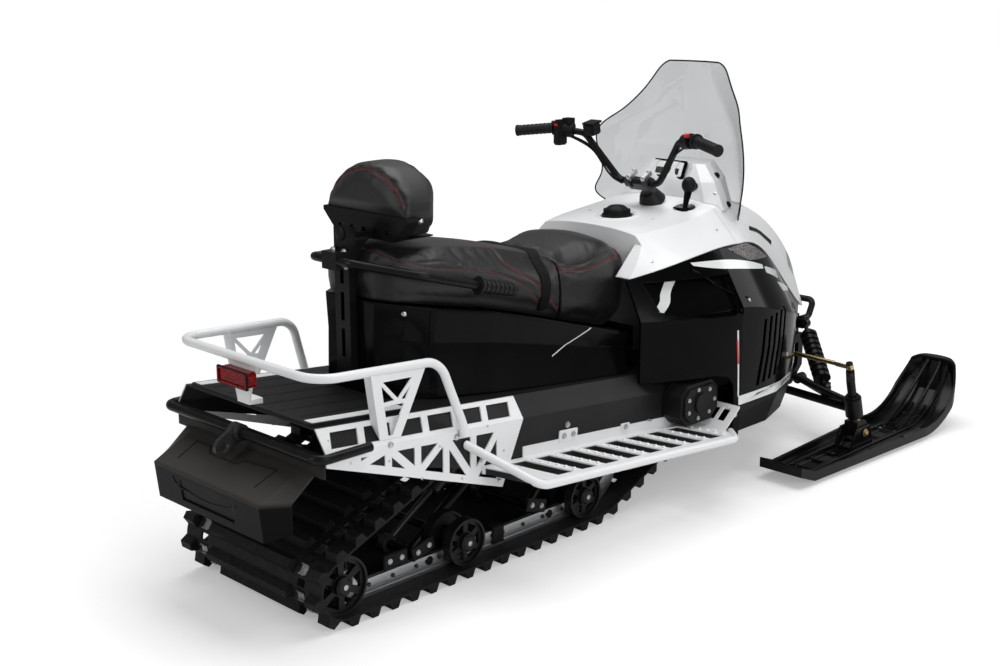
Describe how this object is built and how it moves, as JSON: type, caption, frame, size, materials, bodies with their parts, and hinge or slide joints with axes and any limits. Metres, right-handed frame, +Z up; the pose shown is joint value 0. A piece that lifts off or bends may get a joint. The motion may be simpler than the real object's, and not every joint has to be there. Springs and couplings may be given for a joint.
{
  "type": "snowmobile",
  "caption": "Utility snowmobile with one wide lugged track, two steered skis, a two-up seat with backrest, rear rack and tall screen.",
  "frame": {"origin": "on the ground, under the middle of the overall box", "axes": "+X forward to the skis, +Y to the rider's left, +Z up"},
  "size_m": [2.91, 1.236, 1.343],
  "materials": {
    "white_paint": "gloss",
    "white_plastic": "gloss",
    "black_plastic": "textured",
    "black_gloss": "gloss",
    "black_steel": "satin",
    "track_rubber": "matte",
    "wheel_rubber": "matte",
    "aluminium": "satin",
    "black_leather": "grained",
    "ski_plastic": "satin",
    "clear_screen": "tinted",
    "zinc_steel": "zinc plated",
    "dark_steel": "satin",
    "red_lens": "gloss",
    "cast_grey": "cast"
  },
  "bodies": {
    "chassis": {"backrest_frame": "black_steel", "backrest_pad": "black_leather", "belly_pan": "black_plastic", "cargo_rack": "white_paint", "dash_pod": "white_plastic", "drive_axle": "dark_steel", "drive_case": "black_plastic", "engine_block": "cast_grey", "front_arms": "black_steel", "front_bumper": "black_steel", "front_frame": "black_steel", "front_panels": "black_gloss", "front_shocks": "black_steel", "fuel_cap": "black_plastic", "fuel_console": "white_plastic", "grab_grips": "wheel_rubber", "grab_handle": "black_steel", "headlamps": "clear_screen", "hood": "white_plastic", "rack_plates": "white_paint", "rail_wheels": "wheel_rubber", "rear_bumper": "black_steel", "rear_deck": "black_plastic", "rear_idlers": "wheel_rubber", "running_boards": "white_paint", "seat_base": "black_plastic", "seat_passenger": "black_leather", "seat_rider": "black_leather", "seat_strap": "black_plastic", "shift_lever": "black_gloss", "side_panels": "black_gloss", "side_plates": "white_paint", "skid_arms": "black_steel", "skid_shocks": "dark_steel", "slide_rails": "aluminium", "snow_flap": "black_plastic", "steering_boot": "wheel_rubber", "tail_lamp": "red_lens", "top_idlers": "wheel_rubber", "tow_hitch": "dark_steel", "track": "track_rubber", "tunnel": "black_steel", "windshield": "clear_screen"},
    "handlebar": {"steering_column": "dark_steel", "handlebar": "black_steel", "grips": "wheel_rubber", "bar_controls": "black_plastic"},
    "ski_right": {"spindle_right": "black_steel", "ski_right": "ski_plastic"},
    "ski_left": {"spindle_left": "black_steel", "ski_left": "ski_plastic"},
    "tie_rod_right": {"tie_rod_right": "zinc_steel"},
    "tie_rod_left": {"tie_rod_left": "zinc_steel"}
  },
  "joints": [
    {"name": "handlebar_steer", "type": "hinge", "parent": "chassis", "child": "handlebar", "pos_m": [0.31496, 0, 0.92], "axis": [-0.5736, 0, 0.8192], "range_deg": [-35, 35]},
    {"name": "ski_right_steer", "type": "hinge", "parent": "chassis", "child": "ski_right", "pos_m": [0.868, -0.5, 0.118], "axis": [-0.2932, 0, 0.9561], "range_deg": [-30, 30]},
    {"name": "tie_rod_right_swing", "type": "hinge", "parent": "ski_right", "child": "tie_rod_right", "pos_m": [0.88319, -0.46, 0.28676], "axis": [-0.2932, 0, 0.9561], "range_deg": [-30, 30]},
    {"name": "ski_left_steer", "type": "hinge", "parent": "chassis", "child": "ski_left", "pos_m": [0.868, 0.5, 0.118], "axis": [-0.2932, 0, 0.9561], "range_deg": [-30, 30]},
    {"name": "tie_rod_left_swing", "type": "hinge", "parent": "ski_left", "child": "tie_rod_left", "pos_m": [0.88319, 0.46, 0.28676], "axis": [-0.2932, 0, 0.9561], "range_deg": [-30, 30]}
  ],
  "couplings": [
    {"joint": "ski_right_steer", "follows": "handlebar_steer", "ratio": 0.8},
    {"joint": "tie_rod_right_swing", "follows": "handlebar_steer", "ratio": -0.8},
    {"joint": "ski_left_steer", "follows": "handlebar_steer", "ratio": 0.8},
    {"joint": "tie_rod_left_swing", "follows": "handlebar_steer", "ratio": -0.8}
  ]
}
